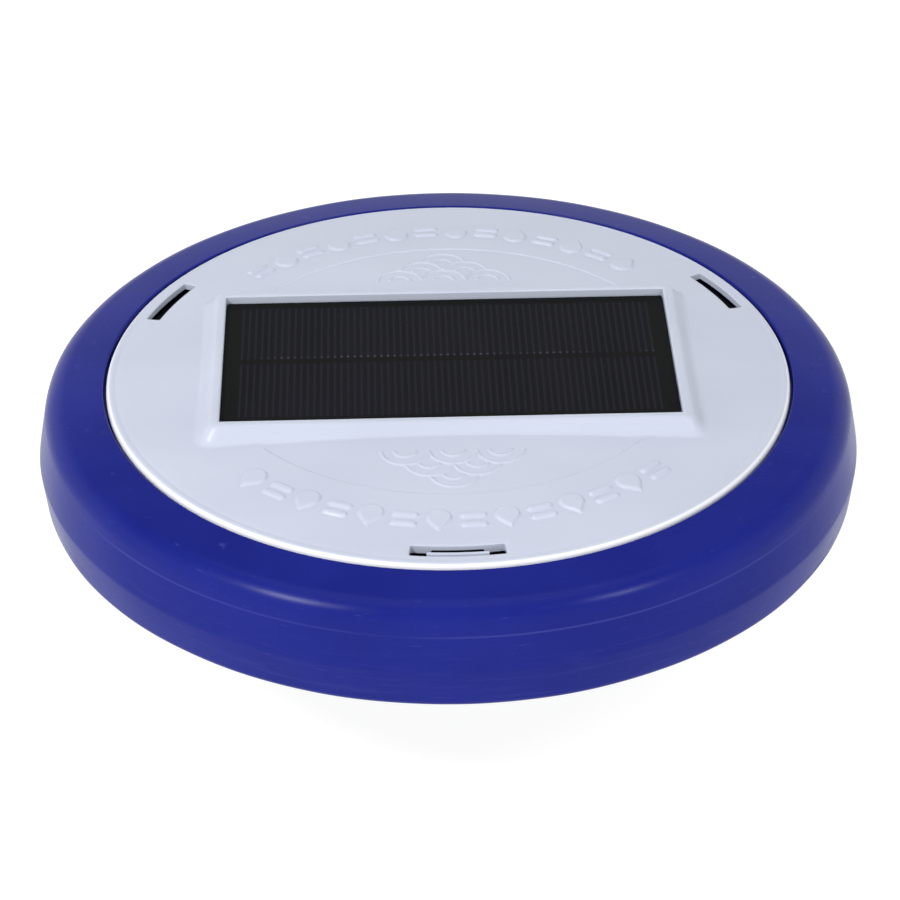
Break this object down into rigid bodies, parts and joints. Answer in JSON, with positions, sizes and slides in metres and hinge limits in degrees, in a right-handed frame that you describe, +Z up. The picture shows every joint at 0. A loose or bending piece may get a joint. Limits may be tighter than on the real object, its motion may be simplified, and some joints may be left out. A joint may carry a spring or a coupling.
{
  "type": "floating solar pool ioniser",
  "caption": "Round float ring with a domed cover and recessed solar panel, over a copper anode, coiled cathode and a screw-on slotted basket.",
  "frame": {"origin": "centre of the basket's foot, on the surface the part stands on", "axes": "+Z up along the centre line, X along the long side of the solar panel, -Y towards the single window"},
  "size_m": [0.31, 0.31, 0.1115],
  "materials": {
    "float_plastic": "moulded blue polyethylene, soft sheen",
    "dish_plastic": "moulded black plastic, fine grain",
    "cover_plastic": "moulded bluish white ABS, satin",
    "panel_clear": "clear epoxy laminate over the cells",
    "solar_cell": "dark silicon with a fine metal grid",
    "tinned_ribbon": "tinned copper",
    "panel_board": "black glass fibre board",
    "adhesive": "silicone adhesive",
    "black_rubber": "soft moulded rubber",
    "stainless": "stainless steel",
    "copper": "bright copper",
    "brass": "turned brass",
    "insulator_plastic": "natural nylon",
    "knob_plastic": "moulded blue plastic",
    "circuit_green": "solder mask",
    "block_plastic": "moulded green nylon",
    "black_epoxy": "moulded black epoxy",
    "wire_red": "PVC wire insulation",
    "wire_black": "PVC wire insulation"
  },
  "bodies": {
    "basket": {"basket": "cover_plastic"},
    "float_head": {"anode_lead": "wire_red", "anode_nut": "stainless", "anode_terminal": "tinned_ribbon", "anode_washer": "stainless", "base_dish": "dish_plastic", "blocking_diode": "black_epoxy", "board_screws": "stainless", "bolt_seal": "black_rubber", "bolt_washer": "stainless", "cathode_lead": "wire_black", "cathode_nut": "stainless", "cathode_screw": "stainless", "cathode_seal": "black_rubber", "cathode_spring": "stainless", "cathode_terminal": "tinned_ribbon", "cathode_washer": "stainless", "cell_ribbon": "tinned_ribbon", "circuit_board": "circuit_green", "copper_anode": "copper", "cover_latch": "cover_plastic", "dish_screws": "stainless", "electrode_bolt": "stainless", "float_lower_shell": "float_plastic", "float_upper_shell": "float_plastic", "housing_gasket": "black_rubber", "insulator_spacer": "insulator_plastic", "lead_grommet": "black_rubber", "panel_adhesive": "adhesive", "panel_backplate": "panel_board", "panel_laminate": "panel_clear", "panel_lead_negative": "wire_black", "panel_lead_positive": "wire_red", "regulator_chip": "black_epoxy", "smoothing_capacitors": "black_epoxy", "solar_cells": "solar_cell", "terminal_block": "block_plastic", "top_cover": "cover_plastic"},
    "knob_washer": {"knob_washer": "stainless"},
    "knob": {"basket_knob": "knob_plastic", "knob_insert": "brass"}
  },
  "joints": [
    {"name": "head_lift", "type": "slide", "parent": "basket", "child": "float_head", "axis": [0, 0, 1], "range_m": [0, 0.075]},
    {"name": "knob_travel", "type": "slide", "parent": "basket", "child": "knob_washer", "axis": [0, 0, -1], "range_m": [0, 0.0098]},
    {"name": "knob_spin", "type": "hinge", "parent": "knob_washer", "child": "knob", "pos_m": [0, 0, 0.007], "axis": [0, 0, -1], "range_deg": [0, 2790]}
  ],
  "couplings": [
    {"joint": "knob_travel", "follows": "knob_spin", "m_per_rad": 0.00019894}
  ]
}
